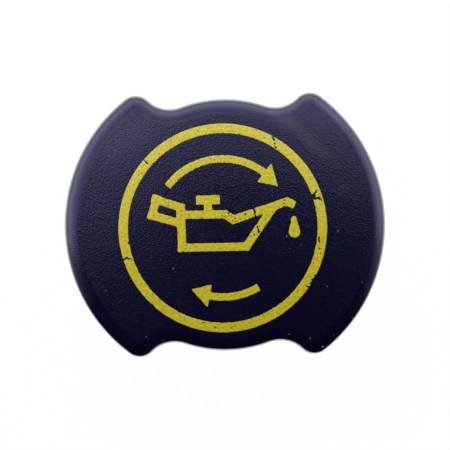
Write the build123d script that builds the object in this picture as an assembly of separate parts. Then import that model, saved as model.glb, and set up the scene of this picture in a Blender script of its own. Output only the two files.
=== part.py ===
from build123d import *
import os
from math import acos, atan2, cos, degrees, radians, sin

# Oil filler cap. Millimetres and degrees. +Z is up through the printed face, z = 0 is the sealing plane on
# the underside of the sealing ring, +X points to one of the two wide sides of the head.

# Stem that enters the filler neck
stem_diameter = 33.0
stem_wall = 2.4
nose_step = 0.6
nose_length = 6.4
nose_lead_in = 0.8

# Bayonet lugs on the stem
lug_reach = 2.8
lug_width = 16.0
lug_height = 3.6
lug_gap = 6.2
lug_lead_in = 0.8
lug_to_nose = 0.4
ramp_length = 9.0
ramp_rise = 1.4
stop_width = 2.0
stop_height = 2.4

# Sealing ring and the channel that it lies in
seal_width = 5.5
seal_thickness = 3.2
seal_bevel = 0.4
seal_clearance = 0.1
seal_proud = 0.8
channel_wall = 1.8
channel_lap = 0.7

# Head: a skirt closed by the printed face
head_height = 14.0
skirt_drop = 1.0
skirt_wall = 2.2
top_wall = 2.5
draft_angle = 1.0
edge_radius = 2.9
foot_bevel = 0.4
round_limit = 0.9
horn_depth = 6.9
horn_radius = 3.5
horn_angle = 37.6
valley_radius = 6.3

# Radial ribs under the printed face
rib_count = 12
rib_thickness = 1.6

# Printed mark: its place is set in millimetres, its lines are shares of the ring's outer radius
mark_margin = 1.35
mark_shift_x = -0.43
mark_shift_y = -0.61
ink_thickness = 0.05
ring_line = 0.091
can_line = 0.077
spout_path = [(0.693, 0.206), (0.619, 0.240), (0.102, 0.076), (0.028, 0.130), (-0.200, 0.131)]
body_path = [(-0.200, 0.131), (-0.398, 0.132), (-0.393, -0.183), (0.222, -0.183), (0.489, 0.194)]
handle_path = [(-0.398, 0.047), (-0.674, 0.133), (-0.634, 0.282), (-0.399, 0.204), (-0.398, 0.132)]
knob_centre = (-0.138, 0.271)
knob_size = (0.227, 0.085)
knob_neck_foot = 0.130
drop_tip = (0.683, 0.079)
drop_tip_radius = 0.027
drop_bulb = (0.686, -0.052)
drop_bulb_radius = 0.055
arrow_radius = 0.662
arrow_line = 0.070
arrow_head_width = 0.220
arrow_head_turn = 16.0
arrow_spans = [(142.0, 36.0), (-60.0, -118.0)]

# Radii that follow from the sizes above, from the stem outwards
stem_radius = stem_diameter / 2
bore_radius = stem_radius - stem_wall
nose_radius = stem_radius - nose_step
lug_radius = stem_radius + lug_reach
seal_inner_radius = stem_radius + seal_clearance
seal_outer_radius = seal_inner_radius + seal_width
channel_radius = seal_outer_radius + seal_clearance
waist_radius = channel_radius + channel_lap + skirt_wall
head_radius = waist_radius + horn_depth
mark_radius = waist_radius - edge_radius - mark_margin

# Heights that follow from the sizes above, from the top downwards
head_top = head_height - skirt_drop
ceiling = head_top - top_wall
inside_top = ceiling + top_wall / 4
lug_top = -lug_gap
lug_foot = lug_top - lug_height
nose_top = lug_foot - lug_to_nose
stem_end = nose_top - nose_length


def head_outline():
    """Outline at the foot of the skirt: wide sides and waists on one axis, blended by horns and valleys."""
    horn_reach = head_radius - horn_radius
    valley_reach = waist_radius + valley_radius
    between = horn_radius + valley_radius
    spread = (horn_reach**2 + valley_reach**2 - between**2) / (2 * horn_reach * valley_reach)
    horn_at = 90 - horn_angle
    valley_at = horn_at + degrees(acos(spread))
    horn_centre = Vector(horn_reach, 0).rotate(Axis.Z, horn_at)
    valley_centre = Vector(valley_reach, 0).rotate(Axis.Z, valley_at)
    across = valley_centre - horn_centre
    touch = degrees(atan2(across.Y, across.X))
    horn = CenterArc(horn_centre, horn_radius, horn_at, touch - horn_at)
    valley = CenterArc(valley_centre, valley_radius, touch + 180, valley_at - touch)
    side = CenterArc((0, 0), head_radius, -horn_at, 2 * horn_at)
    waist = CenterArc((0, 0), waist_radius, valley_at, 180 - 2 * valley_at)
    upper = [horn, valley, mirror(horn, Plane.YZ), mirror(valley, Plane.YZ), waist]
    lower = [mirror(edge, Plane.XZ) for edge in upper]
    return make_face([side, mirror(side, Plane.YZ), *upper, *lower])


def prism(outline, inset, height, draft=0):
    """Prism that stands on the foot of the skirt, inside the outline by an inset, narrowing by a draft."""
    section = offset(outline, -inset) if inset else outline
    return extrude(Pos(0, 0, -skirt_drop) * section, amount=height, taper=draft)


def turned(points):
    """Solid of revolution about the cap's axis from a closed profile of radius and height."""
    return revolve(make_face(Plane.XZ * Polyline(*points, close=True)), axis=Axis.Z)


def head_shell(outline):
    """Skirt and printed face: the drafted head with its rounded top edge, hollow below the top wall."""
    blank = prism(outline, 0, head_height, draft_angle)
    top_edges = blank.faces().sort_by(Axis.Z)[-1].edges()
    blank = fillet(top_edges, min(edge_radius, round_limit * horn_radius))
    foot_edges = blank.faces().sort_by(Axis.Z)[0].edges()
    blank = chamfer(foot_edges, min(foot_bevel, round_limit * skirt_wall / 2))
    return blank - prism(outline, skirt_wall, head_height - top_wall)


def stem():
    """Hollow stem, open below, with a stepped pilot nose."""
    return turned([
        (stem_radius, inside_top),
        (stem_radius, nose_top),
        (nose_radius, nose_top - nose_step),
        (nose_radius, stem_end + nose_lead_in),
        (nose_radius - nose_lead_in, stem_end),
        (bore_radius, stem_end),
        (bore_radius, inside_top),
    ])


def channel():
    """Wall round the sealing ring: it keeps the ring in place and joins the skirt at the waists."""
    outer_radius = channel_radius + channel_wall
    return turned([
        (channel_radius, seal_proud),
        (outer_radius, seal_proud),
        (outer_radius, inside_top),
        (channel_radius, inside_top),
    ])


def ribs(outline):
    """Radial ribs: stepped, so that their inner ends seat the sealing ring, and trimmed inside the skirt."""
    inner = stem_radius - stem_wall / 2
    step = channel_radius + channel_wall / 2
    profile = Polyline(
        (inner, seal_thickness),
        (step, seal_thickness),
        (step, seal_proud),
        (head_radius, seal_proud),
        (head_radius, inside_top),
        (inner, inside_top),
        close=True,
    )
    rib = extrude(make_face(Plane.XZ * profile), amount=rib_thickness / 2, both=True)
    trim = prism(outline, skirt_wall / 2, inside_top + skirt_drop)
    return [spot * rib & trim for spot in PolarLocations(0, rib_count, start_angle=180 / rib_count)]


def bayonet_lugs():
    """Two opposite lugs: a cam profile on the tangent, with ramp and stop, kept inside the lug circle."""
    half = lug_width / 2
    cam = Polyline(
        (-half, lug_foot + lug_lead_in),
        (-half, lug_top - ramp_rise),
        (-half + ramp_length, lug_top),
        (half - stop_width, lug_top),
        (half - stop_width, lug_top + stop_height),
        (half, lug_top + stop_height),
        (half, lug_foot + lug_lead_in),
        (half - lug_lead_in, lug_foot),
        (-half + lug_lead_in, lug_foot),
        close=True,
    )
    lug = extrude(make_face(Plane.YZ * cam), amount=lug_radius)
    inner = stem_radius - stem_wall / 2
    belt_top = lug_top + stop_height
    belt = turned([(inner, lug_foot), (lug_radius, lug_foot), (lug_radius, belt_top), (inner, belt_top)])
    lug = lug & belt
    return [spot * lug for spot in PolarLocations(0, 2)]


def cap_body():
    """The one-piece moulding: head, stem, seal channel, ribs and bayonet lugs."""
    outline = head_outline()
    return head_shell(outline) + stem() + channel() + ribs(outline) + bayonet_lugs()


def sealing_ring():
    """Flat rubber ring between the stem and the channel wall, seated on the ribs, bevelled where it seals."""
    return turned([
        (seal_inner_radius + seal_bevel, 0),
        (seal_outer_radius - seal_bevel, 0),
        (seal_outer_radius, seal_bevel),
        (seal_outer_radius, seal_thickness),
        (seal_inner_radius, seal_thickness),
        (seal_inner_radius, seal_bevel),
    ])


def mark_points(shares):
    """Points of the mark's drawing in millimetres."""
    return [(x * mark_radius, y * mark_radius) for x, y in shares]


def oil_can():
    """Standard oil-can symbol drawn with one line width: spout, body, handle and filler knob."""
    line = can_line * mark_radius
    (knob_x, knob_y), (knob_width, knob_height) = mark_points([knob_centre, knob_size])
    neck_foot = knob_neck_foot * mark_radius
    neck = Pos(knob_x, (neck_foot + knob_y) / 2) * Rectangle(line, knob_y - neck_foot)
    knob = Pos(knob_x, knob_y) * Rectangle(knob_width, knob_height)
    lines = [trace(Polyline(*mark_points(path)), line) for path in (spout_path, body_path, handle_path)]
    return Sketch() + lines + neck + knob


def oil_drop():
    """Drop under the spout: two circles and their common tangents."""
    tip, bulb = mark_points([drop_tip, drop_bulb])
    small = Pos(*tip) * Circle(drop_tip_radius * mark_radius)
    large = Pos(*bulb) * Circle(drop_bulb_radius * mark_radius)
    return make_hull([*small.edges(), *large.edges()])


def turn_arrow(start, end):
    """Curved arrow on the ring's centre, from a start angle clockwise to its point at the end angle."""
    radius = arrow_radius * mark_radius
    neck = end + arrow_head_turn
    shaft = trace(CenterArc((0, 0), radius, start, neck - start), arrow_line * mark_radius)
    half_head = arrow_head_width * mark_radius / 2
    corners = [(radius - half_head, neck), (radius + half_head, neck), (radius, end)]
    points = [(reach * cos(radians(turn)), reach * sin(radians(turn))) for reach, turn in corners]
    return shaft + make_face(Polyline(*points, close=True))


def printed_mark():
    """Print on the top face: ring, oil can, drop and two turn arrows, a little off the cap's axis."""
    ring = Circle(mark_radius) - Circle(mark_radius * (1 - ring_line))
    drawing = [ring, oil_can(), oil_drop(), *[turn_arrow(*span) for span in arrow_spans]]
    place = Pos(mark_shift_x, mark_shift_y, head_top)
    solids = [extrude(place * figure, amount=ink_thickness).solids() for figure in drawing]
    return Compound(children=[solid for group in solids for solid in group])


os.makedirs("parts", exist_ok=True)
export_step(cap_body(), "parts/cap_body.step")
export_step(sealing_ring(), "parts/sealing_ring.step")
export_step(printed_mark(), "parts/printed_mark.step")
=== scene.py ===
import math

import bpy
import numpy as np
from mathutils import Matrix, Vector

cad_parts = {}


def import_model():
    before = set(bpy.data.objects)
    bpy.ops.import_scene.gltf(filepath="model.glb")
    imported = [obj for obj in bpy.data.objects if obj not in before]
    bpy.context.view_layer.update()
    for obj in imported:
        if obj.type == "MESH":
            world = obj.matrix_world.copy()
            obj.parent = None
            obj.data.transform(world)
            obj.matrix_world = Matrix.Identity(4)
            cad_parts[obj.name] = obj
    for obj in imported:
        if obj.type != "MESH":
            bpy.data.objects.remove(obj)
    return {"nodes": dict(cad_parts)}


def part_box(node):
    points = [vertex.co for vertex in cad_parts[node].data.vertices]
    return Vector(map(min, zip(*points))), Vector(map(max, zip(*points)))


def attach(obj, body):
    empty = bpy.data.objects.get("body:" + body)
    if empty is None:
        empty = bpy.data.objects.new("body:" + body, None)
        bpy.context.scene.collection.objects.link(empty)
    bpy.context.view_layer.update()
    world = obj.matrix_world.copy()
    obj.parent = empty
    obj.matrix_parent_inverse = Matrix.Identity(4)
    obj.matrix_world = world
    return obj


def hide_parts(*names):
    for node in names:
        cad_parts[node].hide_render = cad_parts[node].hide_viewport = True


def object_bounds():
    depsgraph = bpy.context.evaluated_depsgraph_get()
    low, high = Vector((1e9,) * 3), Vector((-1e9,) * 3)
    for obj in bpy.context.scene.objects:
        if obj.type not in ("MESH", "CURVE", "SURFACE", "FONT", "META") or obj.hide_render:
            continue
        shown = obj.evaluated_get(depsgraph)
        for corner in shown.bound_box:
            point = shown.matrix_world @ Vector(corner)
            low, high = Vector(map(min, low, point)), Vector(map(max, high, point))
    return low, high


# Oil filler cap, standing on its stem on a white sweep and seen from straight above. Lengths are metres in
# the part's own frame unless a comment says otherwise: +Z up through the printed face, +X to a wide side of
# the head.
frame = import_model()
cad_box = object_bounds()
head_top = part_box("cap_body")[1].z
ink_low, ink_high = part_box("printed_mark")
ring_centre = (ink_low + ink_high) / 2

MM = 0.001

# Printed drawing, in shares of the ring's outer radius, from the ring's centre
RING_LINE = 0.091
CAN_LINE = 0.077
SPOUT_PATH = [(0.693, 0.206), (0.619, 0.240), (0.102, 0.076), (0.028, 0.130), (-0.200, 0.131)]
BODY_PATH = [(-0.200, 0.131), (-0.398, 0.132), (-0.393, -0.183), (0.222, -0.183), (0.489, 0.194)]
HANDLE_PATH = [(-0.398, 0.047), (-0.674, 0.133), (-0.634, 0.282), (-0.399, 0.204), (-0.398, 0.132)]
KNOB_CENTRE = (-0.138, 0.271)
KNOB_SIZE = (0.227, 0.085)
KNOB_NECK_FOOT = 0.130
DROP_TIP = (0.683, 0.074)
DROP_TIP_RADIUS = 0.027
DROP_BULB = (0.686, -0.052)
DROP_BULB_RADIUS = 0.053
ARROW_RADIUS = 0.662
ARROW_LINE = 0.070
ARROW_HEAD_WIDTH = 0.220
ARROW_HEAD_TURN = 16.0
ARROW_SPANS = [(142.0, 36.0), (-60.0, -118.0)]

# Head: the round of its top edge, the slight crown of its face as it shows in the light, and the decimals to
# which its corners are merged
EDGE_RADIUS = 2.9 * MM
CROWN_RADIUS = 220 * MM
MERGE_DECIMALS = 7

# How the ink was laid, in millimetres: grid of the film and least distance of a grid point from the outline,
# soft outer and filled inner corners, ragged edges with their random seed, and a border that has a share of
# the film's thickness
FILM_STEP = 0.12
LEAST_DISTANCE = 0.0036
CORNER_ROUND = 0.22
CORNER_FILL = 0.35
EDGE_GRAIN = 0.10
EDGE_RAGGED = 0.028
WEAR_RAGGED = 0.042
RAGGED_SEED = 3
BORDER_WIDTH = 0.20
BORDER_SHARE = 0.75

# Worn places of the print in millimetres from the ring's centre: a run of points and half the loss's width
WEAR = [
    ([(10.27, 17.95), (10.64, 17.26)], 0.17),
    ([(10.70, 16.64)], 0.22),
    ([(10.89, 15.80)], 0.22),
    ([(-15.60, 13.95), (-15.18, 13.51)], 0.08),
    ([(-15.18, 13.51), (-14.72, 13.06)], 0.16),
    ([(17.30, 6.10), (18.15, 6.30), (18.67, 6.70), (18.82, 7.01)], 0.16),
    ([(17.30, 5.85), (18.35, 6.05)], 0.35),
    ([(17.40, 5.50), (18.14, 5.70), (18.54, 5.48), (19.31, 5.62)], 0.27),
    ([(19.31, 5.45), (19.81, 5.15)], 0.15),
    ([(20.66, 2.94)], 0.17),
    ([(19.14, -2.22), (19.07, -2.73), (19.30, -3.15)], 0.17),
    ([(19.17, -4.55)], 0.20),
    ([(19.51, -5.50)], 0.15),
    ([(18.11, -9.89), (18.60, -10.10)], 0.20),
    ([(17.69, -10.65), (18.20, -10.80)], 0.20),
    ([(18.45, -10.00), (17.40, -11.50)], 0.22),
    ([(16.49, -11.95), (17.10, -12.20)], 0.16),
    ([(-18.83, 2.69)], 0.14),
    ([(-18.85, -2.48), (-18.86, -2.86)], 0.15),
    ([(-19.83, -5.91), (-19.26, -5.62), (-18.91, -5.89), (-18.53, -5.75)], 0.17),
    ([(-14.40, -15.10), (-14.05, -15.42)], 0.18),
    ([(-12.84, -14.33)], 0.14),
    ([(-8.15, -4.68), (-7.75, -4.68)], 0.11),
    ([(6.14, 3.80), (6.51, 3.02), (6.39, 2.74), (6.60, 2.15)], 0.19),
    ([(12.36, 5.33)], 0.20),
    ([(12.29, 4.64)], 0.19),
    ([(12.36, 4.05)], 0.20),
    ([(6.88, 0.15), (7.19, -0.78), (7.18, -1.02)], 0.20),
    ([(8.49, 1.38)], 0.14),
    ([(8.60, 0.68)], 0.13),
    ([(6.25, -1.51)], 0.15),
    ([(-4.25, -18.84)], 0.15),
    ([(-1.89, -19.83)], 0.14),
    ([(1.45, -20.03)], 0.14),
    ([(0.00, 2.57)], 0.14),
    ([(0.52, 2.33)], 0.17),
    ([(1.16, 2.90)], 0.17),
    ([(1.21, 2.32)], 0.16),
    ([(1.78, 2.31)], 0.15),
    ([(2.52, 1.84)], 0.15),
    ([(1.99, 1.33)], 0.17),
    ([(2.68, 1.26)], 0.15),
    ([(4.55, 2.66)], 0.15),
]

# Dust on the cap: height as a share of the ink's, points round a fleck and rings of its net, and the flecks:
# place in millimetres from the ring's centre, length, width, turn in degrees, paleness
DUST_HEIGHT = 0.9
DUST_TURNS = 10
DUST_RINGS = 3
DUST = [
    (12.73, -1.90, 0.22, 0.18, 0, 0.70),
    (15.58, -3.60, 0.18, 0.14, 20, 0.20),
    (13.25, -4.32, 0.17, 0.14, 40, 0.18),
    (-10.04, -7.96, 0.22, 0.18, 10, 0.50),
    (-23.63, -12.05, 0.20, 0.16, 0, 0.30),
    (-15.70, -21.45, 0.26, 0.16, 60, 0.28),
    (-12.31, -22.18, 0.20, 0.15, 0, 0.25),
    (-14.13, -23.34, 0.20, 0.16, 30, 0.25),
    (12.84, -21.45, 0.80, 0.13, 40, 0.18),
    (17.03, -22.43, 0.52, 0.13, -45, 0.18),
    (19.50, -24.08, 0.30, 0.26, 0, 1.0),
    (21.72, -21.90, 0.20, 0.16, 0, 0.20),
    (25.42, -18.37, 0.22, 0.18, 0, 0.45),
    (23.04, -1.02, 0.70, 0.13, 30, 0.18),
    (27.55, -11.42, 0.20, 0.16, 0, 0.30),
    (20.63, -12.09, 0.26, 0.20, 0, 0.16),
    (-21.20, 15.95, 0.30, 0.15, -60, 0.22),
]

# Pale patches on the face, part dry smear and part painted sheen, laid into the base colour: middle in
# millimetres from the ring's centre, half length, half width, turn in degrees, and the most that the pale
# film covers
SMEARS_AND_PAINTED_SHEEN = [
    (13.50, 20.90, 4.2, 2.5, -15, 0.042),
    (18.07, 16.68, 8.0, 2.2, -45, 0.028),
    (18.90, 21.60, 6.0, 4.0, -50, 0.018),
    (-18.50, 18.60, 10.5, 5.0, 38, 0.018),
    (23.89, 7.38, 2.6, 1.8, 0, 0.014),
]

# Camera: straight above, without perspective as through a very long lens, turned a little against the cap
VIEW_TURN = math.radians(-1.09)
VIEW_SHIFT = (0.020 * MM, -0.034 * MM)
CAMERA_RISE = 0.5
PICTURE_WIDTH = 89.85 * MM

# White sweep round the cap: its form, the points of its net, the share that takes shadow, the room's light
SWEEP_FLAT = 1.30
SWEEP_RADIUS = 2.30
SWEEP_HEIGHT = 1.40
SWEEP_TURNS = 97
SWEEP_RISES = 24
SHADOW_SHARE = 0.03
ROOM_LIGHT = 0.10

# Velvet liner inside the sweep: its form, and where it is clear and where whole, in degrees of turn from -Y
# and of rise, seen from the cap
LINER_INNER = 0.038
LINER_RADIUS = 1.20
LINER_LIFT = 0.001
LINER_TURNS = (95.0, 55.0)
LINER_RISES = (10.0, 24.0)

# Lamps: name, place, width and height in millimetres, power in watts, colour, and whether gloss shows it
WHITE_LIGHT = "#FFFFFF"
COOL_LIGHT = "#F0EFFF"
LAMPS = [
    ("left", (-85, 32, 12), 101, 146, 0.0985, COOL_LIGHT, True),
    ("far_side", (5, 85, 10), 161, 102, 0.1100, COOL_LIGHT, True),
    ("right", (85, 33, 10), 90, 89, 0.0436, COOL_LIGHT, True),
    ("top", (15, 71, 120), 159, 83, 0.0637, WHITE_LIGHT, True),
    ("top_left", (-100, 70, 241), 127, 110, 0.0940, WHITE_LIGHT, True),
    ("top_right", (70, 70, 122), 259, 105, 0.0313, WHITE_LIGHT, True),
    ("fill", (0, -220, 330), 300, 300, 0.7300, WHITE_LIGHT, False),
]


def linear(colour):
    """Linear RGBA from an sRGB hex string."""
    parts = np.array([int(colour[i:i + 2], 16) for i in (1, 3, 5)]) / 255
    parts = np.where(parts <= 0.04045, parts / 12.92, ((parts + 0.055) / 1.055) ** 2.4)
    return (*parts, 1.0)


def add(tree, kind, inputs=None, **settings):
    """Adds a node with its settings. An input is a value for its socket or another socket to link it to."""
    node = tree.nodes.new(kind)
    for name, value in settings.items():
        setattr(node, name, value)
    for name, value in (inputs or {}).items():
        if isinstance(value, bpy.types.NodeSocket):
            tree.links.new(value, node.inputs[name])
        else:
            node.inputs[name].default_value = value
    return node


def new_material(name):
    """New material, its empty node tree and the output node in it."""
    material = bpy.data.materials.new(name)
    material.use_nodes = True
    tree = material.node_tree
    tree.nodes.clear()
    return material, tree, add(tree, "ShaderNodeOutputMaterial")


def new_piece(name, points, faces, material):
    """Smooth-shaded mesh at the origin from arrays of points and of faces with one corner count."""
    mesh = bpy.data.meshes.new(name)
    corners = faces.shape[1]
    mesh.vertices.add(len(points))
    mesh.vertices.foreach_set("co", np.asarray(points, np.float32).ravel())
    mesh.loops.add(faces.size)
    mesh.loops.foreach_set("vertex_index", faces.astype(np.int32).ravel())
    mesh.polygons.add(len(faces))
    mesh.polygons.foreach_set("loop_start", np.arange(0, faces.size, corners, dtype=np.int32))
    mesh.polygons.foreach_set("use_smooth", np.full(len(faces), True))
    mesh.update(calc_edges=True)
    mesh.validate()
    mesh.materials.append(material)
    piece = bpy.data.objects.new(name, mesh)
    bpy.context.scene.collection.objects.link(piece)
    return piece


# Materials

def upward(tree):
    """Rise of the surface's normal: one on the flat top, nought on an upright wall."""
    normal = add(tree, "ShaderNodeNewGeometry").outputs["Normal"]
    return add(tree, "ShaderNodeSeparateXYZ", {0: normal}).outputs[2]


def crowned_normal(tree, place):
    """Normal of the surface. Where it faces up, it leans away from the axis as on a ball of the crown's
    radius."""
    normal = add(tree, "ShaderNodeNewGeometry").outputs["Normal"]
    up = add(tree, "ShaderNodeMath", {0: upward(tree), 1: 0.0}, operation="MAXIMUM").outputs[0]
    lean = add(tree, "ShaderNodeVectorMath", {0: place, 1: (1 / CROWN_RADIUS, 1 / CROWN_RADIUS, 0)},
               operation="MULTIPLY").outputs[0]
    lean = add(tree, "ShaderNodeVectorMath", {0: lean, "Scale": up}, operation="SCALE").outputs[0]
    total = add(tree, "ShaderNodeVectorMath", {0: normal, 1: lean}, operation="ADD").outputs[0]
    return add(tree, "ShaderNodeVectorMath", {0: total}, operation="NORMALIZE").outputs[0]


def scattered(tree, rough):
    """Roughness that rises where the flat top is seen at a low angle: there the ridges of its grain hide the
    hollows between them and scatter the light. A slant is nought straight on and one edge on."""
    flat_from, flat_to = 0.96, 0.995
    slant_from, slant_to = 0.70, 0.95
    most_added = 0.5
    flat = add(tree, "ShaderNodeMapRange", {"Value": upward(tree), "From Min": flat_from,
                                            "From Max": flat_to})
    slant = add(tree, "ShaderNodeLayerWeight", {"Blend": 0.5}).outputs["Facing"]
    low = add(tree, "ShaderNodeMapRange", {"Value": slant, "From Min": slant_from, "From Max": slant_to,
                                           "To Max": most_added})
    return add(tree, "ShaderNodeMath", {0: flat.outputs[0], 1: low.outputs[0], 2: rough},
               operation="MULTIPLY_ADD").outputs[0]


def smear_and_sheen_share(tree, place):
    """Share of the surface that the pale patches cover, dry smears and painted sheen in the base colour:
    soft ellipsoids on the face, each fading from its middle to its rim by a smooth step."""
    total = 0.0
    for x, y, half_length, half_width, turn, most in SMEARS_AND_PAINTED_SHEEN:
        inside = add(tree, "ShaderNodeMapping", {
            "Vector": place, "Location": (ring_centre.x + x * MM, ring_centre.y + y * MM, head_top),
            "Rotation": (0, 0, math.radians(turn)),
            "Scale": (half_length * MM, half_width * MM, half_width * MM)}, vector_type="TEXTURE")
        reach = add(tree, "ShaderNodeVectorMath", {0: inside.outputs[0]}, operation="LENGTH")
        share = add(tree, "ShaderNodeMapRange", {"Value": reach.outputs["Value"], "To Min": most,
                                                 "To Max": 0.0}, interpolation_type="SMOOTHSTEP")
        total = add(tree, "ShaderNodeMath", {0: share.outputs[0], 1: total}, operation="ADD").outputs[0]
    return total


def cap_plastic():
    """Black glass-filled polyamide, moulded in a spark-eroded tool: a satin skin with a bluish gloss, and on
    the faces that look up a fine leather grain that breaks the light into small flecks, and pale patches of
    dry smear and painted sheen in the base colour."""
    material, tree, output = new_material("moulded_black_polyamide")
    place = add(tree, "ShaderNodeTexCoord").outputs["Object"]
    grain_mm, grain_depth_mm, warp_mm, warp_reach_mm, sheen_mm = 0.25, 0.047, 1.0, 0.4, 9.0
    wall_rise, face_rise, wall_grain = 0.2, 0.8, 0.12
    gloss, dull = 0.21, 0.25
    warp = add(tree, "ShaderNodeTexNoise", {"Vector": place, "Scale": 1 / (warp_mm * MM), "Detail": 2.0})
    shift = add(tree, "ShaderNodeVectorMath", {0: warp.outputs["Color"], 1: (0.5, 0.5, 0.5)},
                operation="SUBTRACT")
    bent = add(tree, "ShaderNodeVectorMath", {0: shift.outputs[0], 1: (warp_reach_mm * MM,) * 3, 2: place},
               operation="MULTIPLY_ADD")
    cells = add(tree, "ShaderNodeTexVoronoi", {"Vector": bent.outputs[0], "Scale": 1 / (grain_mm * MM)},
                feature="SMOOTH_F1")
    depth = add(tree, "ShaderNodeMapRange", {"Value": upward(tree), "From Min": wall_rise,
                                             "From Max": face_rise, "To Min": wall_grain, "To Max": 1.0})
    bump = add(tree, "ShaderNodeBump", {"Height": cells.outputs["Distance"], "Strength": depth.outputs[0],
                                        "Distance": grain_depth_mm * MM,
                                        "Normal": crowned_normal(tree, place)})
    sheen = add(tree, "ShaderNodeTexNoise", {"Vector": place, "Scale": 1 / (sheen_mm * MM), "Detail": 3.0})
    rough = add(tree, "ShaderNodeMapRange", {"Value": sheen.outputs["Fac"], "From Min": 0.3,
                                             "From Max": 0.7, "To Min": gloss, "To Max": dull})
    ridge = add(tree, "ShaderNodeMapRange", {"Value": cells.outputs["Distance"], "From Min": 0.1,
                                             "From Max": 0.6})
    tone = add(tree, "ShaderNodeMix", {"Factor": ridge.outputs[0], "A": linear("#030314"),
                                       "B": linear("#0A0A24")}, data_type="RGBA")
    # Pale patches mixed into the base colour: part dry smear, part painted sheen
    tone = add(tree, "ShaderNodeMix", {"Factor": smear_and_sheen_share(tree, place), "A": tone.outputs["Result"],
                                       "B": linear("#B4B4C0")}, data_type="RGBA")
    shader = add(tree, "ShaderNodeBsdfPrincipled", {
        "Base Color": tone.outputs["Result"], "Roughness": scattered(tree, rough.outputs[0]), "IOR": 1.53,
        "Specular Tint": (0.587, 0.575, 1.0, 1.0), "Normal": bump.outputs[0]})
    tree.links.new(shader.outputs[0], output.inputs["Surface"])
    return material


def seal_rubber():
    """Black nitrile rubber, moulded: matt, dark grey where it catches light."""
    material, tree, output = new_material("moulded_nitrile_rubber")
    place = add(tree, "ShaderNodeTexCoord").outputs["Object"]
    bloom_mm, bloom_depth_mm = 3.0, 0.05
    bloom = add(tree, "ShaderNodeTexNoise", {"Vector": place, "Scale": 1 / (bloom_mm * MM), "Detail": 4.0})
    tone = add(tree, "ShaderNodeMix", {"Factor": bloom.outputs["Fac"], "A": linear("#131314"),
                                       "B": linear("#232324")}, data_type="RGBA")
    bump = add(tree, "ShaderNodeBump", {"Height": bloom.outputs["Fac"], "Strength": 0.4,
                                        "Distance": bloom_depth_mm * MM})
    shader = add(tree, "ShaderNodeBsdfPrincipled", {
        "Base Color": tone.outputs["Result"], "Roughness": 0.62, "IOR": 1.52, "Normal": bump.outputs[0]})
    tree.links.new(shader.outputs[0], output.inputs["Surface"])
    return material


def print_ink():
    """Yellow pad-printing ink, a thin satin film with fine ripples: finely mottled, a little golden in some
    patches and lemon in others, with small olive specks where it lies thinly over the black."""
    material, tree, output = new_material("pad_printed_yellow_ink")
    place = add(tree, "ShaderNodeTexCoord").outputs["Object"]
    mottle_mm, ripple_mm, patch_mm, speck_mm = 0.45, 0.03, 2.4, 0.85
    speck_core, speck_rim, speck_cover, bare_cells = 0.10, 0.26, 0.80, 0.60
    mottle = add(tree, "ShaderNodeTexNoise", {"Vector": place, "Scale": 1 / (mottle_mm * MM),
                                              "Detail": 3.0})
    blend = add(tree, "ShaderNodeMapRange", {"Value": mottle.outputs["Fac"], "From Min": 0.3,
                                             "From Max": 0.7})
    patch = add(tree, "ShaderNodeTexNoise", {"Vector": place, "Scale": 1 / (patch_mm * MM), "Detail": 1.0})
    lemon = add(tree, "ShaderNodeMapRange", {"Value": patch.outputs["Fac"], "From Min": 0.35,
                                             "From Max": 0.65})
    thin_ink = add(tree, "ShaderNodeMix", {"Factor": lemon.outputs[0], "A": linear("#9A8C08"),
                                           "B": linear("#968D0E")}, data_type="RGBA")
    full_ink = add(tree, "ShaderNodeMix", {"Factor": lemon.outputs[0], "A": linear("#CABA19"),
                                           "B": linear("#C5BC25")}, data_type="RGBA")
    tone = add(tree, "ShaderNodeMix", {"Factor": blend.outputs[0], "A": thin_ink.outputs["Result"],
                                       "B": full_ink.outputs["Result"]}, data_type="RGBA")
    specks = add(tree, "ShaderNodeTexVoronoi", {"Vector": place, "Scale": 1 / (speck_mm * MM)})
    chance = add(tree, "ShaderNodeSeparateXYZ", {0: specks.outputs["Color"]})
    chosen = add(tree, "ShaderNodeMath", {0: chance.outputs[0], 1: bare_cells}, operation="GREATER_THAN")
    thin = add(tree, "ShaderNodeMapRange", {"Value": specks.outputs["Distance"], "From Min": speck_core,
                                            "From Max": speck_rim, "To Min": speck_cover, "To Max": 0.0})
    share = add(tree, "ShaderNodeMath", {0: chosen.outputs[0], 1: thin.outputs[0]}, operation="MULTIPLY")
    stained = add(tree, "ShaderNodeMix", {"Factor": share.outputs[0], "A": tone.outputs["Result"],
                                          "B": linear("#575540")}, data_type="RGBA")
    bump = add(tree, "ShaderNodeBump", {"Height": mottle.outputs["Fac"], "Strength": 0.8,
                                        "Distance": ripple_mm * MM, "Normal": crowned_normal(tree, place)})
    shader = add(tree, "ShaderNodeBsdfPrincipled", {
        "Base Color": stained.outputs["Result"], "Roughness": scattered(tree, 0.3), "IOR": 1.6,
        "Normal": bump.outputs[0]})
    tree.links.new(shader.outputs[0], output.inputs["Surface"])
    return material


def pale_dust():
    """House dust and lint: dull grey flecks, from dim to nearly white."""
    material, tree, output = new_material("grey_dust")
    pale = add(tree, "ShaderNodeAttribute", attribute_name="pale")
    tone = add(tree, "ShaderNodeMix", {"Factor": pale.outputs["Fac"], "A": linear("#2A2A35"),
                                       "B": linear("#D8D8DC")}, data_type="RGBA")
    shader = add(tree, "ShaderNodeBsdfPrincipled", {"Base Color": tone.outputs["Result"], "Roughness": 0.9})
    tree.links.new(shader.outputs[0], output.inputs["Surface"])
    return material


def seen_directly(tree):
    """One for light that reaches the eye straight, by gloss or through glass, and nought for the rest."""
    light = add(tree, "ShaderNodeLightPath")
    seen = add(tree, "ShaderNodeMath", {0: light.outputs["Is Camera Ray"],
                                        1: light.outputs["Is Glossy Ray"]}, operation="MAXIMUM")
    return add(tree, "ShaderNodeMath", {0: seen.outputs[0], 1: light.outputs["Is Transmission Ray"]},
               operation="MAXIMUM").outputs[0]


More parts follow.
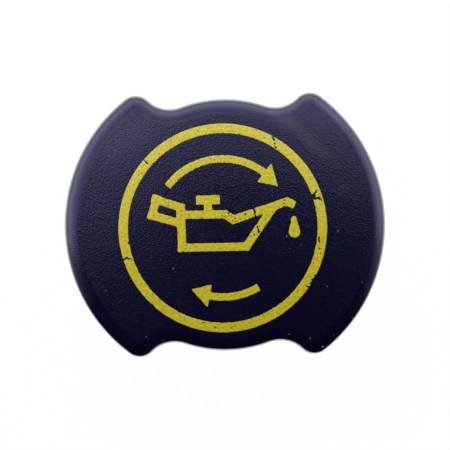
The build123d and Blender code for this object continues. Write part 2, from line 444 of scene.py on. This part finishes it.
def white_sweep():
    """Seamless white paper: white to the eye and in reflections, with a share of plain paper that takes
    shadow, and clear from below."""
    material, tree, output = new_material("seamless_white_paper")
    share = add(tree, "ShaderNodeMath", {0: seen_directly(tree), 1: 1 - SHADOW_SHARE}, operation="MULTIPLY")
    paper = add(tree, "ShaderNodeBsdfDiffuse", {"Color": linear("#F4F4F4")})
    glow = add(tree, "ShaderNodeEmission", {"Color": linear("#FFFFFF"), "Strength": 1.0})
    top = add(tree, "ShaderNodeMixShader", {0: share.outputs[0], 1: paper.outputs[0], 2: glow.outputs[0]})
    back = add(tree, "ShaderNodeNewGeometry").outputs["Backfacing"]
    clear = add(tree, "ShaderNodeBsdfTransparent")
    both = add(tree, "ShaderNodeMixShader", {0: back, 1: top.outputs[0], 2: clear.outputs[0]})
    tree.links.new(both.outputs[0], output.inputs["Surface"])
    material.cycles.emission_sampling = "NONE"
    return material


def black_velvet():
    """Black velvet that darkens reflections: whole towards -Y and overhead, fading to the other sides."""
    material, tree, output = new_material("black_velvet")
    place = add(tree, "ShaderNodeSeparateXYZ", {0: add(tree, "ShaderNodeTexCoord").outputs["Object"]})
    flat = add(tree, "ShaderNodeCombineXYZ", {0: place.outputs[0], 1: place.outputs[1]})
    away = add(tree, "ShaderNodeVectorMath", {0: flat.outputs[0]}, operation="NORMALIZE")
    near = add(tree, "ShaderNodeVectorMath", {0: away.outputs[0], 1: (0, -1, 0)}, operation="DOT_PRODUCT")
    clear_at, full_at = (math.cos(math.radians(turn)) for turn in LINER_TURNS)
    aside = add(tree, "ShaderNodeMapRange", {"Value": near.outputs["Value"], "From Min": clear_at,
                                             "From Max": full_at}, interpolation_type="SMOOTHSTEP")
    clear_at, full_at = (LINER_RADIUS * math.sin(math.radians(rise)) for rise in LINER_RISES)
    above = add(tree, "ShaderNodeMapRange", {"Value": place.outputs[2], "From Min": clear_at,
                                             "From Max": full_at}, interpolation_type="SMOOTHSTEP")
    share = add(tree, "ShaderNodeMath", {0: aside.outputs[0], 1: above.outputs[0]}, operation="MAXIMUM")
    clear = add(tree, "ShaderNodeBsdfTransparent")
    velvet = add(tree, "ShaderNodeBsdfDiffuse", {"Color": linear("#0A0A0A")})
    both = add(tree, "ShaderNodeMixShader", {0: share.outputs[0], 1: clear.outputs[0], 2: velvet.outputs[0]})
    tree.links.new(both.outputs[0], output.inputs["Surface"])
    return material


# The moulding

def smooth_moulding():
    """The moulding with its corners merged and its normals kept, apart from the top's rounded edge: there a
    normal's rise is the height above the round's centre line as a share of the round's radius."""
    packed = frame["nodes"]["cap_body"].data
    places = np.empty(3 * len(packed.vertices), np.float32)
    packed.vertices.foreach_get("co", places)
    corners = np.empty(len(packed.loops), np.int32)
    packed.loops.foreach_get("vertex_index", corners)
    normals = np.empty(3 * len(packed.loops), np.float32)
    packed.corner_normals.foreach_get("vector", normals)
    normals = normals.reshape(-1, 3).astype(float)
    points, merged = np.unique(places.reshape(-1, 3).round(MERGE_DECIMALS), axis=0, return_inverse=True)
    faces = merged.ravel()[corners].reshape(-1, 3)
    rise = np.clip((places.reshape(-1, 3)[corners, 2] - head_top) / EDGE_RADIUS + 1, 0, 1)
    rounded = (rise > 0) & (normals[:, 2] > 0)
    flat = normals[:, :2] / np.maximum(np.hypot(normals[:, 0], normals[:, 1]), 1e-9)[:, None]
    turned = np.column_stack([flat * np.sqrt(1 - rise**2)[:, None], rise])
    normals[rounded] = turned[rounded]
    cap = new_piece("cap_moulding", points, faces, cap_plastic())
    cap.data.normals_split_custom_set(normals)
    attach(cap, "root")
    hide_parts("cap_body")
    return cap


# The print as a worn film

def strip_distance(x, y, path, width):
    """Distance to a line of one width along a path, negative inside: a round-cornered strip for each run,
    made longer at a corner by half the width times the tangent of half the turn, blended where two meet."""
    points = np.array(path, float)
    runs = np.diff(points, axis=0)
    headings = np.unwrap(np.arctan2(runs[:, 1], runs[:, 0]))
    mitres = np.pad(np.tan(np.abs(np.diff(headings)) / 2) * width / 2, 1)
    strips = []
    for start, run, before, after in zip(points, runs, mitres, mitres[1:]):
        length = np.hypot(*run)
        ahead = run / length
        along = (x - start[0]) * ahead[0] + (y - start[1]) * ahead[1]
        across = (y - start[1]) * ahead[0] - (x - start[0]) * ahead[1]
        over = np.abs(along - (length + after - before) / 2) - (length + before + after) / 2 + CORNER_ROUND
        beside = np.abs(across) - width / 2 + CORNER_ROUND
        outside = np.hypot(np.maximum(over, 0), np.maximum(beside, 0))
        strips.append(outside + np.minimum(np.maximum(over, beside), 0) - CORNER_ROUND)
    return blended(strips)


def blended(distances):
    """Union of shapes given by distance: the smaller distance, lowered by a quadratic where two are alike,
    so that inner corners fill as with wet ink."""
    result = distances[0]
    for other in distances[1:]:
        near = np.maximum(CORNER_FILL - np.abs(result - other), 0) / CORNER_FILL
        result = np.minimum(result, other) - near**2 * CORNER_FILL / 4
    return result


def arrow_distance(x, y, start, end, radius, line, head_width):
    """Distance to a curved arrow that runs clockwise: a band of a circle, and a head between three lines."""
    neck = math.radians(end + ARROW_HEAD_TURN)
    middle = (math.radians(start) + neck) / 2
    reach = np.hypot(x, y)
    turn = np.angle(np.exp(1j * (np.arctan2(y, x) - middle)))
    overshoot = (np.abs(turn) - (math.radians(start) - neck) / 2) * reach
    shaft = np.maximum(np.abs(reach - radius) - line / 2, overshoot)
    corners = np.array([radius + head_width / 2, radius - head_width / 2, radius])
    turns = np.array([neck, neck, math.radians(end)])
    corner_x, corner_y = corners * np.cos(turns), corners * np.sin(turns)
    side_x, side_y = np.roll(corner_x, -1) - corner_x, np.roll(corner_y, -1) - corner_y
    side = np.hypot(side_x, side_y)
    beyond = (x[..., None] - corner_x) * side_y / side - (y[..., None] - corner_y) * side_x / side
    return blended([shaft, beyond.max(-1)])


def drop_distance(x, y, radius):
    """Distance to a pear: circles on a line from the tip to the bulb, whose radius swells by a smooth step,
    three times the square of the share of the way less twice its cube."""
    tip, bulb = np.array(DROP_TIP) * radius, np.array(DROP_BULB) * radius
    run = bulb - tip
    share = np.clip(((x - tip[0]) * run[0] + (y - tip[1]) * run[1]) / (run @ run), 0, 1)
    swell = share**2 * (3 - 2 * share)
    girth = (DROP_TIP_RADIUS + (DROP_BULB_RADIUS - DROP_TIP_RADIUS) * swell) * radius
    return np.hypot(x - tip[0] - share * run[0], y - tip[1] - share * run[1]) - girth


def drawing_distance(x, y, radius):
    """Distance to the whole drawing in millimetres: ring, oil can, drop and turn arrows."""
    line = CAN_LINE * radius
    paths = [np.array(path) * radius for path in (SPOUT_PATH, BODY_PATH, HANDLE_PATH)]
    knob_x, knob_y = np.array(KNOB_CENTRE) * radius
    knob_width, knob_height = np.array(KNOB_SIZE) * radius
    knob = [(knob_x - knob_width / 2, knob_y), (knob_x + knob_width / 2, knob_y)]
    neck = [(knob_x, KNOB_NECK_FOOT * radius), (knob_x, knob_y)]
    can = blended([strip_distance(x, y, path, line) for path in (*paths, neck)]
                  + [strip_distance(x, y, knob, knob_height)])
    ring_width = RING_LINE * radius
    ring = np.abs(np.hypot(x, y) - radius + ring_width / 2) - ring_width / 2
    sizes = np.array([ARROW_RADIUS, ARROW_LINE, ARROW_HEAD_WIDTH]) * radius
    arrows = [arrow_distance(x, y, *span, *sizes) for span in ARROW_SPANS]
    return np.minimum.reduce([ring, can, drop_distance(x, y, radius), *arrows])


def run_distance(x, y, points):
    """Distance to a run of points: the least over its stretches, each from the nearest place on it."""
    points = np.array(points, float)
    nearest = np.hypot(x - points[0, 0], y - points[0, 1])
    for start, end in zip(points, points[1:]):
        run = end - start
        share = np.clip(((x - start[0]) * run[0] + (y - start[1]) * run[1]) / (run @ run), 0, 1)
        reach = np.hypot(x - start[0] - share * run[0], y - start[1] - share * run[1])
        nearest = np.minimum(nearest, reach)
    return nearest


def soft_noise(shape, step, grain, seed):
    """Random field of unit spread: seeded white noise blurred by a bell curve as wide as the grain."""
    white = np.random.default_rng(seed).standard_normal(shape)
    down, across = np.fft.fftfreq(shape[0], step), np.fft.rfftfreq(shape[1], step)
    bell = np.exp(-2 * (math.pi * grain) ** 2 * (down[:, None] ** 2 + across**2))
    field = np.fft.irfft2(np.fft.rfft2(white) * bell, shape)
    return field / field.std()


def film_mesh(x, y, distance, low, high):
    """Closed film where a distance field on a grid is negative. Each grid cell is two triangles, and one
    that the outline crosses is cut where the distance is zero on its sides. The top rises from a thin border
    to full thickness, the underside is the same net turned over, and walls join both along the cuts."""
    rows, columns = distance.shape
    node = np.arange(rows * columns).reshape(rows, columns)
    inside = distance.ravel() < 0
    pairs = [(node[:, :-1], node[:, 1:]), (node[:-1], node[1:]), (node[:-1, :-1], node[1:, 1:])]
    starts = np.concatenate([a.ravel() for a, b in pairs])
    ends = np.concatenate([b.ravel() for a, b in pairs])
    flat_x, flat_y, flat_d = x.ravel(), y.ravel(), distance.ravel()
    gap = flat_d[starts] - flat_d[ends]
    share = np.where(inside[starts] != inside[ends], flat_d[starts] / np.where(gap == 0, 1, gap), 0.5)
    cut_x = flat_x[starts] + share * (flat_x[ends] - flat_x[starts])
    cut_y = flat_y[starts] + share * (flat_y[ends] - flat_y[starts])
    first = node.size + np.cumsum([0] + [a.size for a, b in pairs])
    level, upright, slant = [at + np.arange(a.size).reshape(a.shape) for at, (a, b) in zip(first, pairs)]
    right_low = [node[:-1, :-1], node[:-1, 1:], node[1:, 1:], level[:-1], upright[:, 1:], slant]
    left_high = [node[:-1, :-1], node[1:, 1:], node[1:, :-1], slant, level[1:], upright[:, :-1]]
    faces, cuts = [], []
    for triangle in (right_low, left_high):
        a, b, c, ab, bc, ca = [part.ravel() for part in triangle]
        whole = inside[a] & inside[b] & inside[c]
        faces.append(np.stack([a, b, c], 1)[whole])
        for p, q, r, pq, rp in ((a, b, c, ab, ca), (b, c, a, bc, ab), (c, a, b, ca, bc)):
            corner = inside[p] & ~inside[q] & ~inside[r]
            faces.append(np.stack([p, pq, rp], 1)[corner])
            cuts.append(np.stack([pq, rp], 1)[corner])
            side = ~inside[p] & inside[q] & inside[r]
            faces += [np.stack([q, r, rp], 1)[side], np.stack([q, rp, pq], 1)[side]]
            cuts.append(np.stack([rp, pq], 1)[side])
    faces, cuts = np.concatenate(faces), np.concatenate(cuts)
    used, faces_new = np.unique(faces, return_inverse=True)
    faces = faces_new.reshape(faces.shape)
    cuts = np.searchsorted(used, cuts)
    depth = np.concatenate([np.minimum(flat_d, 0), np.zeros(len(starts))])[used]
    rise = np.clip(-depth / BORDER_WIDTH, 0, 1)
    rise = BORDER_SHARE + (1 - BORDER_SHARE) * rise * rise * (3 - 2 * rise)
    plan = np.stack([np.concatenate([flat_x, cut_x])[used], np.concatenate([flat_y, cut_y])[used]], 1) * MM
    top = np.column_stack([plan, low + (high - low) * rise])
    bottom = np.column_stack([plan, np.full(len(plan), low)])
    under = faces[:, ::-1] + len(plan)
    walls = [np.column_stack([cuts + len(plan), cuts[:, 1]]),
             np.column_stack([cuts[:, 0] + len(plan), cuts[:, 1], cuts[:, 0]])]
    return np.concatenate([top, bottom]), np.concatenate([faces, under, *walls])


def printed_film():
    """The worn print: the drawing with ragged edges, less the worn places, as a film on the top face. The
    distance at a grid point is kept off zero, so that no cut falls on a grid point."""
    radius = (ink_high.x - ink_low.x) / 2 / MM
    half = FILM_STEP * math.ceil(radius / FILM_STEP + 2)
    ticks = np.linspace(-half, half, round(2 * half / FILM_STEP) + 1)
    x, y = np.meshgrid(ticks, ticks)
    noise = soft_noise(x.shape, FILM_STEP, EDGE_GRAIN, RAGGED_SEED)
    distance = np.maximum(drawing_distance(x, y, radius) + EDGE_RAGGED * noise, np.hypot(x, y) - radius)
    for points, half_width in WEAR:
        distance = np.maximum(distance, half_width - run_distance(x, y, points) + WEAR_RAGGED * noise)
    near = np.abs(distance) < LEAST_DISTANCE
    distance = np.where(near, np.where(distance < 0, -LEAST_DISTANCE, LEAST_DISTANCE), distance)
    points, faces = film_mesh(x, y, distance, ink_low.z, ink_high.z)
    points[:, :2] += ring_centre[:2]
    film = new_piece("printed_mark_worn", points, faces, print_ink())
    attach(film, "root")
    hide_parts("printed_mark")


def dust(cap):
    """Flecks of dust: each a low dome over an ellipse, a function of turn and of distance from its middle,
    laid on the cap straight below its place and leaned with the skin there."""
    place_x, place_y, long, wide, turn, pale = np.array(DUST).T
    bpy.context.view_layer.update()
    above = np.column_stack([place_x, place_y, np.zeros(len(DUST))]) * MM
    above += [ring_centre.x, ring_centre.y, 2 * head_top]
    hits = [cap.ray_cast(place, (0, 0, -1)) for place in above]
    seat, out = (np.array([hit[i] for hit in hits])[:, None] for i in (1, 2))
    turn = np.radians(turn)
    heading = np.column_stack([np.cos(turn), np.sin(turn), np.zeros(len(DUST))])[:, None]
    heading = heading - out * (heading * out).sum(-1, keepdims=True)
    heading = heading / np.linalg.norm(heading, axis=-1, keepdims=True)
    aside = np.cross(out, heading)
    around = np.linspace(0, 2 * math.pi, DUST_TURNS, endpoint=False)
    outward = np.linspace(1, 1 / DUST_RINGS, DUST_RINGS)
    along = np.append(outward[:, None] * np.cos(around), [0, 0])[:, None]
    across = np.append(outward[:, None] * np.sin(around), [0, 0])[:, None]
    rise = np.append(np.repeat(np.sqrt(1 - outward**2), DUST_TURNS), [1, 0])[:, None]
    long, wide = long[:, None, None] * MM / 2, wide[:, None, None] * MM / 2
    height = (ink_high.z - ink_low.z) * DUST_HEIGHT
    points = seat + along * long * heading + across * wide * aside + rise * height * out
    net = np.arange(DUST_RINGS * DUST_TURNS).reshape(DUST_RINGS, DUST_TURNS)
    ahead = np.roll(net, -1, 1)
    sides = [np.stack([net[:-1], ahead[:-1], ahead[1:]], -1), np.stack([net[:-1], ahead[1:], net[1:]], -1)]
    crown, foot = net.size, net.size + 1
    caps = [np.stack([net[-1], ahead[-1], np.full(DUST_TURNS, crown)], -1),
            np.stack([ahead[0], net[0], np.full(DUST_TURNS, foot)], -1)]
    one = np.concatenate([part.reshape(-1, 3) for part in (*sides, *caps)])
    faces = (one[None] + (np.arange(len(DUST)) * points.shape[1])[:, None, None]).reshape(-1, 3)
    flecks = new_piece("dust_flecks", points.reshape(-1, 3), faces, pale_dust())
    attribute = flecks.data.attributes.new("pale", "FLOAT", "POINT")
    attribute.data.foreach_set("value", np.repeat(pale, points.shape[1]).astype(np.float32))
    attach(flecks, "root")


# Studio

def revolved(name, around, reach, height, material):
    """Surface of revolution that faces its axis: a profile of reach and height carried round by turns."""
    ring = np.stack([reach[:, None] * np.cos(around), reach[:, None] * np.sin(around),
                     np.broadcast_to(height[:, None], (len(reach), len(around)))], -1)
    net = np.arange(ring.size // 3).reshape(len(reach), -1)
    faces = np.stack([net[:-1, :-1], net[1:, :-1], net[1:, 1:], net[:-1, 1:]], -1).reshape(-1, 4)
    piece = new_piece(name, ring.reshape(-1, 3), faces, material)
    return piece


def sweep():
    """White sweep round the cap: flat, then a quarter ellipse up to a wall. Inside it a velvet liner, a
    ground sheet and a dome in one, shows in reflections alone."""
    turn = np.linspace(0, 2 * math.pi, SWEEP_TURNS)
    rise = np.linspace(0, math.pi / 2, SWEEP_RISES)
    floor = cad_box[0].z
    reach = np.append(0, SWEEP_FLAT + (SWEEP_RADIUS - SWEEP_FLAT) * np.sin(rise))
    height = np.append(0, SWEEP_HEIGHT * (1 - np.cos(rise)))
    revolved("sweep", turn, reach, floor + height, white_sweep())
    reach = np.append(LINER_INNER, LINER_RADIUS * np.cos(rise))
    height = np.append(0, LINER_RADIUS * np.sin(rise)) + LINER_LIFT
    liner = revolved("velvet_liner", turn, reach, floor + height, black_velvet())
    liner.visible_camera = False
    liner.visible_diffuse = False
    liner.visible_transmission = False
    liner.visible_shadow = False


def lamp(name, place, width, height, power, colour, glossy):
    """Soft lamp that faces the cap. Its place and size are given in millimetres."""
    data = bpy.data.lights.new(name, "AREA")
    data.shape = "RECTANGLE"
    data.size, data.size_y = width * MM, height * MM
    data.energy = power
    data.color = linear(colour)[:3]
    thing = bpy.data.objects.new(name, data)
    thing.location = Vector(place) * MM
    thing.rotation_euler = (-Vector(place)).to_track_quat("-Z", "Y").to_euler()
    thing.visible_camera = False
    thing.visible_glossy = glossy
    bpy.context.scene.collection.objects.link(thing)


def world():
    """Dim even room, as white as the sweep where it is seen past its edge."""
    room = bpy.data.worlds.new("room")
    room.use_nodes = True
    tree = room.node_tree
    tree.nodes.clear()
    level = add(tree, "ShaderNodeMapRange", {"Value": seen_directly(tree), "To Min": ROOM_LIGHT,
                                             "To Max": 1.0})
    glow = add(tree, "ShaderNodeBackground", {"Color": linear("#FFFFFF"), "Strength": level.outputs[0]})
    output = add(tree, "ShaderNodeOutputWorld")
    tree.links.new(glow.outputs[0], output.inputs["Surface"])
    bpy.context.scene.world = room


def camera():
    """Camera straight above the cap at the photo's scale."""
    data = bpy.data.cameras.new("camera")
    data.type = "ORTHO"
    data.ortho_scale = PICTURE_WIDTH
    thing = bpy.data.objects.new("camera", data)
    thing.location = (*VIEW_SHIFT, CAMERA_RISE)
    thing.rotation_euler = (0, 0, VIEW_TURN)
    bpy.context.scene.collection.objects.link(thing)
    bpy.context.scene.camera = thing


cap = smooth_moulding()
frame["nodes"]["sealing_ring"].material_slots[0].material = seal_rubber()
printed_film()
dust(cap)
sweep()
for settings in LAMPS:
    lamp(*settings)
world()
camera()
bpy.context.scene.view_settings.view_transform = "Standard"
